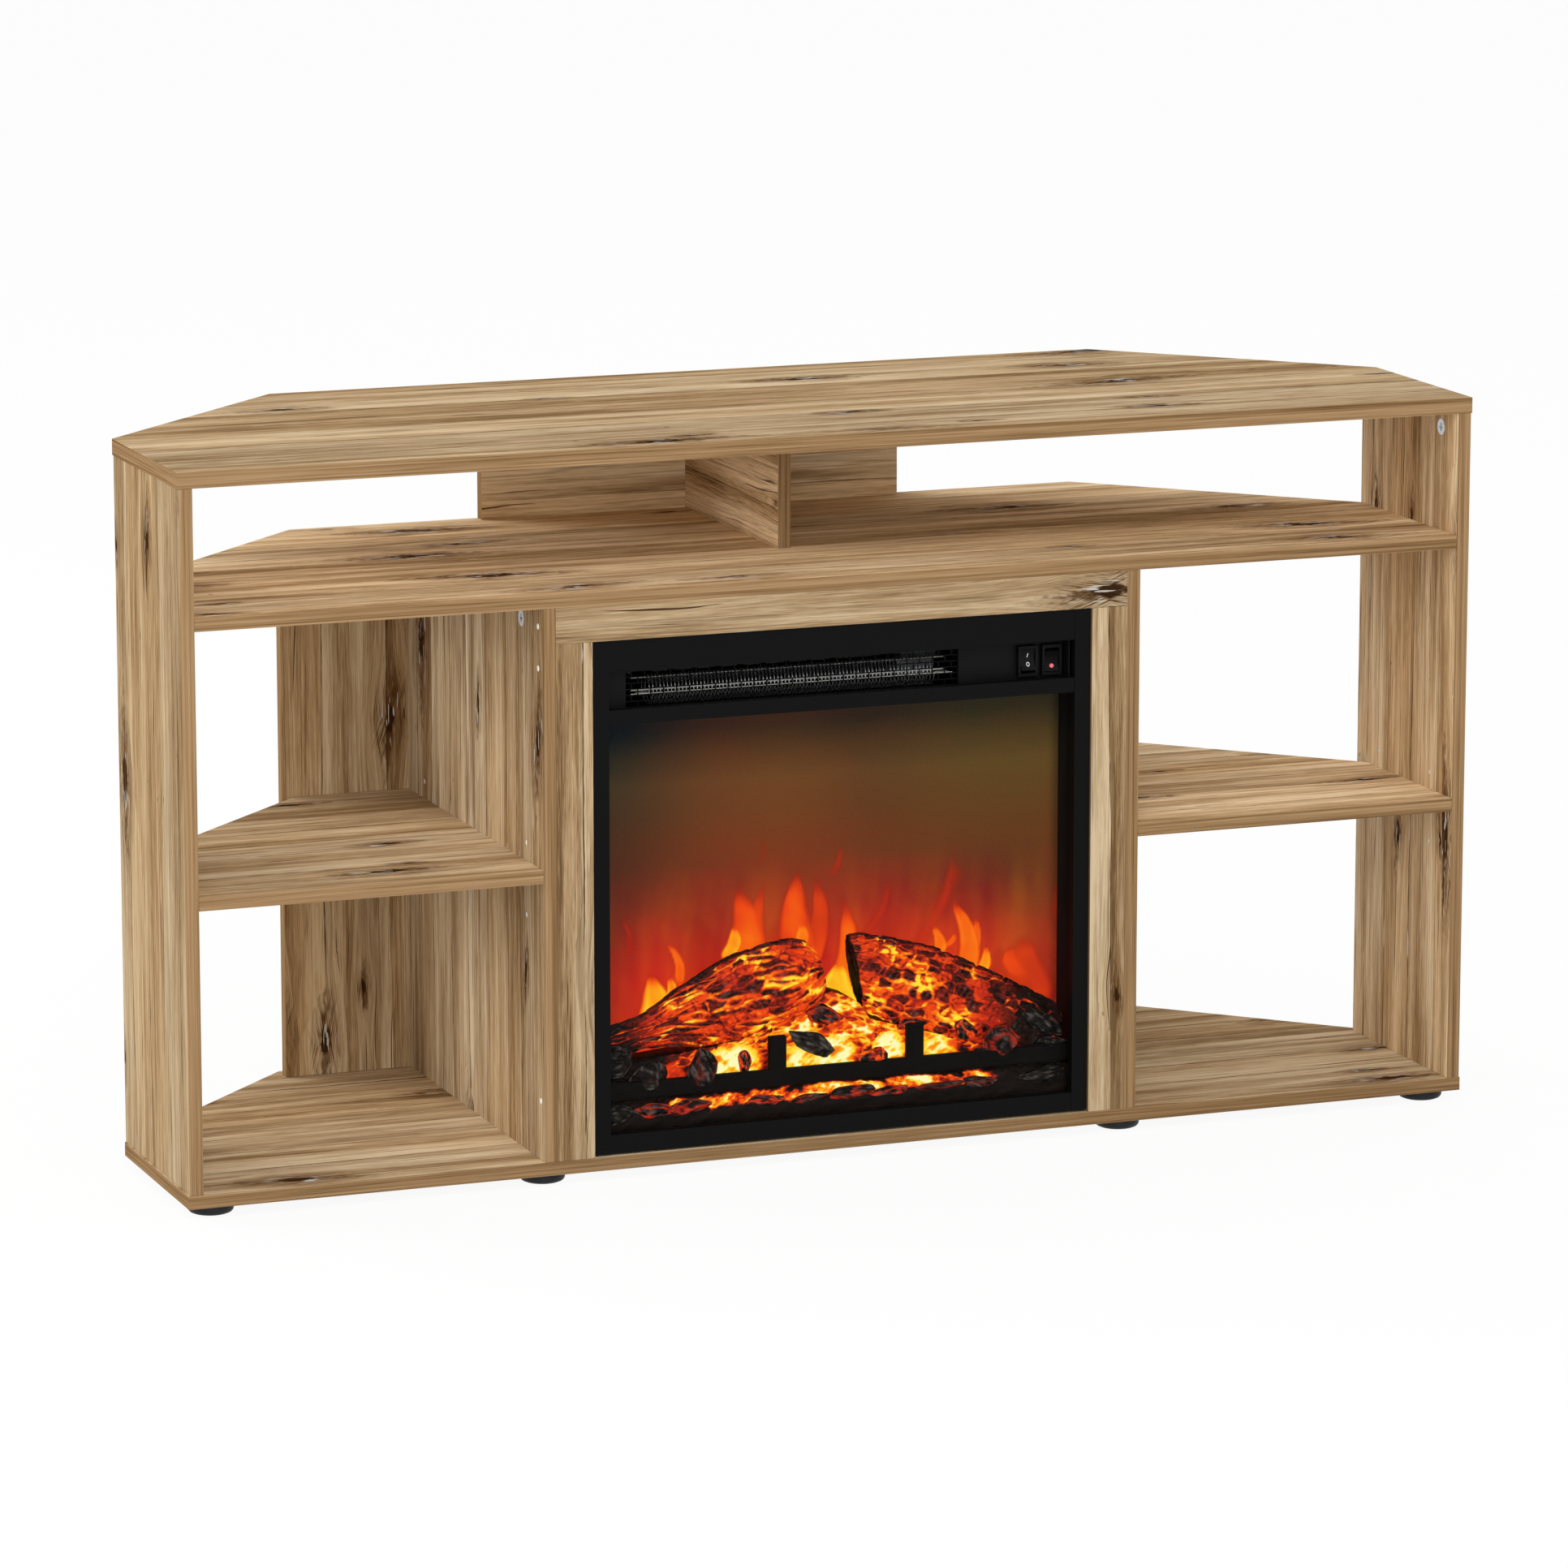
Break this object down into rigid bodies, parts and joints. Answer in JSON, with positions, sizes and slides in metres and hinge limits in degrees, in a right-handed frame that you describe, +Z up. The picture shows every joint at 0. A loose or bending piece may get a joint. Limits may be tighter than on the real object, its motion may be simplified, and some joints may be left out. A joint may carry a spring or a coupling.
{
  "type": "fireplace tv stand",
  "caption": "Oak-look corner television stand with open shelves on both sides, an upper media shelf and a black electric fireplace in its middle bay.",
  "frame": {"origin": "on the floor, under the middle of the stand's outline", "axes": "+X to the right seen from the front, +Y to the back, +Z up; the front faces -Y"},
  "size_m": [1.2, 0.4026, 0.646],
  "materials": {
    "oak": "matt printed oak with knots and grain",
    "black_plastic": "satin black",
    "zinc": "bright zinc",
    "black_paint": "satin black",
    "bare_steel": "plain steel",
    "ceramic": "off-white ceramic",
    "clear_glass": "clear",
    "flame_screen": "translucent, lit from behind",
    "charred_log": "moulded bark, charred",
    "embers": "translucent orange, lit from below",
    "red_lens": "translucent red",
    "lamp_board": "white lamp strip",
    "mirror_foil": "bright foil"
  },
  "bodies": {
    "stand": {"top_panel": "oak", "bottom_panel": "oak", "left_side_panel": "oak", "right_side_panel": "oak", "tv_shelf": "oak", "centre_divider": "oak", "upper_back_panel": "oak", "lower_back_panel": "oak", "left_divider": "oak", "right_divider": "oak", "header_rail": "oak", "left_stile": "oak", "right_stile": "oak", "left_shelf": "oak", "right_shelf": "oak", "left_foot_front_outer": "black_plastic", "left_foot_front_inner": "black_plastic", "left_foot_rear_outer": "black_plastic", "left_foot_rear_inner": "black_plastic", "right_foot_front_outer": "black_plastic", "right_foot_front_inner": "black_plastic", "right_foot_rear_outer": "black_plastic", "right_foot_rear_inner": "black_plastic", "control_fascia": "black_plastic", "power_switch_body": "black_plastic", "heat_switch_body": "black_plastic", "cord_gland": "black_plastic", "left_pin_divider_front": "zinc", "left_pin_divider_back": "zinc", "left_pin_side_front": "zinc", "left_pin_side_back": "zinc", "right_pin_divider_front": "zinc", "right_pin_divider_back": "zinc", "right_pin_side_front": "zinc", "right_pin_side_back": "zinc", "left_side_cam": "zinc", "right_side_cam": "zinc", "left_divider_cam": "zinc", "right_divider_cam": "zinc", "front_frame": "black_paint", "insert_case": "black_paint", "heater_grille": "black_paint", "fire_grate": "black_paint", "insert_back_cover": "bare_steel", "blower_tray": "bare_steel", "heater_coil": "bare_steel", "blower_motor": "bare_steel", "rotor_motor": "bare_steel", "heater_core": "ceramic", "glass_panel": "clear_glass", "flame_screen": "flame_screen", "left_log": "charred_log", "right_log": "charred_log", "ember_bed": "embers", "led_strip": "lamp_board"},
    "power_key": {"power_rocker": "black_plastic"},
    "heat_key": {"heat_rocker": "black_plastic", "pilot_lens": "red_lens"},
    "flame_spindle": {"flame_rotor": "mirror_foil"},
    "blower": {"blower_wheel": "black_plastic"}
  },
  "joints": [
    {"name": "power_switch_rock", "type": "hinge", "parent": "stand", "child": "power_key", "pos_m": [0.18, -0.17525, 0.431], "axis": [1, 0, 0], "range_deg": [0, 18]},
    {"name": "heat_switch_rock", "type": "hinge", "parent": "stand", "child": "heat_key", "pos_m": [0.2028, -0.17525, 0.431], "axis": [1, 0, 0], "range_deg": [-18, 0]},
    {"name": "flame_spindle_turn", "type": "hinge", "parent": "stand", "child": "flame_spindle", "pos_m": [0, -0.10625, 0.065], "axis": [1, 0, 0], "continuous": true},
    {"name": "blower_turn", "type": "hinge", "parent": "stand", "child": "blower", "pos_m": [-0.038, -0.10625, 0.438], "axis": [1, 0, 0], "continuous": true}
  ]
}
